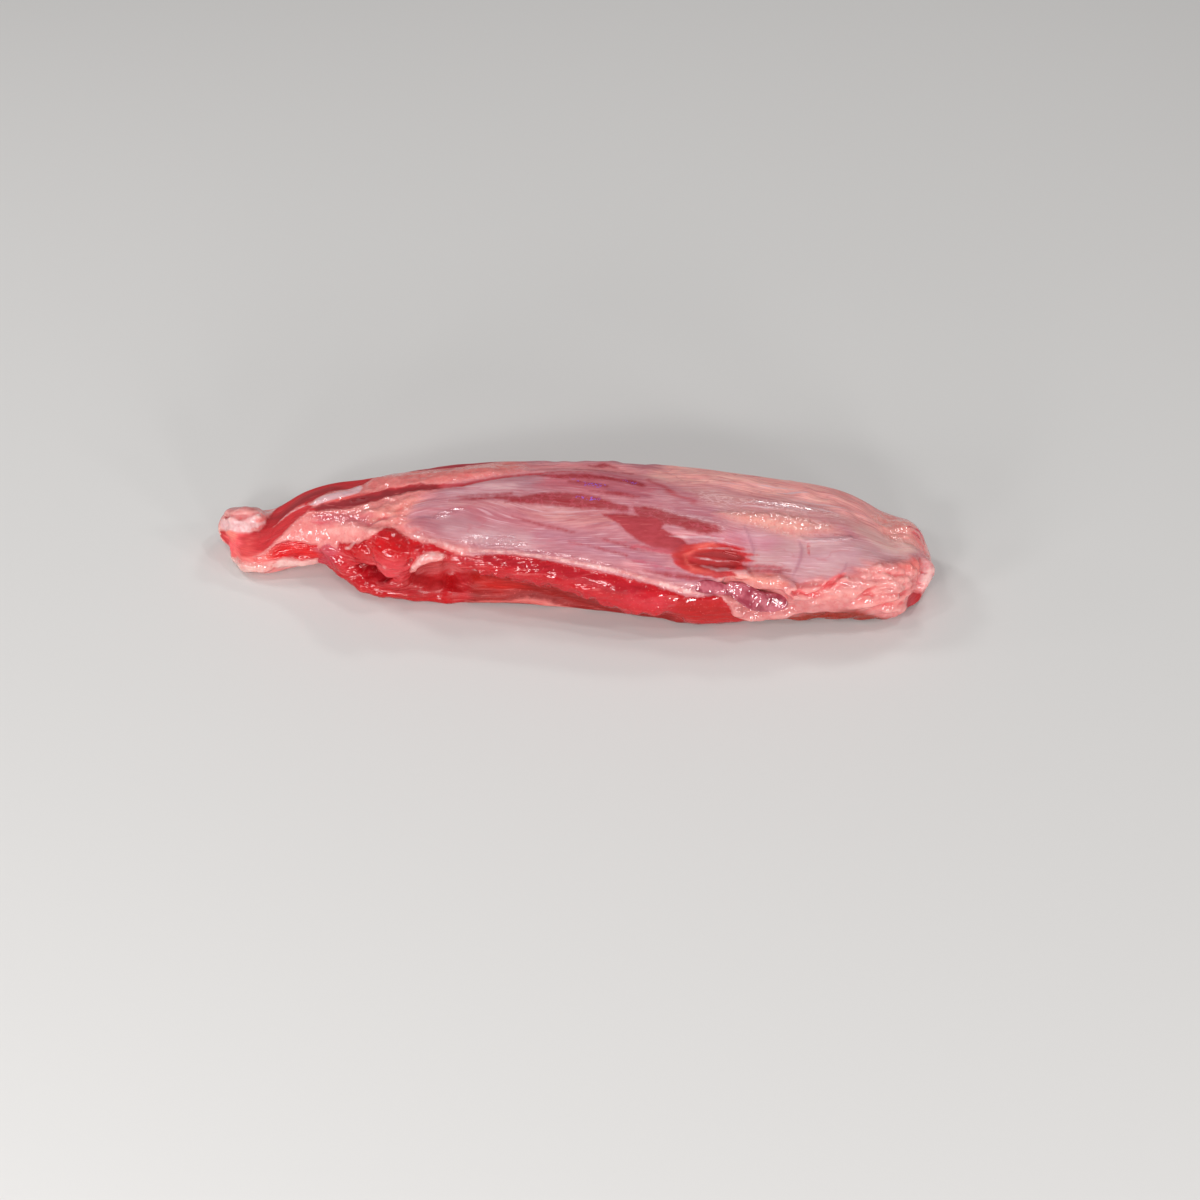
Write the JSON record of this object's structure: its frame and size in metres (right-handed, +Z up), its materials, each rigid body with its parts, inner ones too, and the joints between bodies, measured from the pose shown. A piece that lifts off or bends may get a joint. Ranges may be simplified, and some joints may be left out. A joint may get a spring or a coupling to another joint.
{
  "type": "raw beef shin",
  "caption": "Whole raw boneless shin muscle lying on its side, tapering to a curled tendon end, with silverskin, fat and bared red meat.",
  "frame": {"origin": "centre of the bounding box's bottom face, on the surface that the meat lies on", "axes": "+X along the muscle from the thin curled tendon end to the blunt cut end, +Y to its back, +Z up; the trimmed red side faces -Y"},
  "size_m": [0.354, 0.0874, 0.055],
  "materials": {
    "raw_meat": "wet"
  },
  "bodies": {
    "root": {"shin": "raw_meat"}
  },
  "joints": []
}
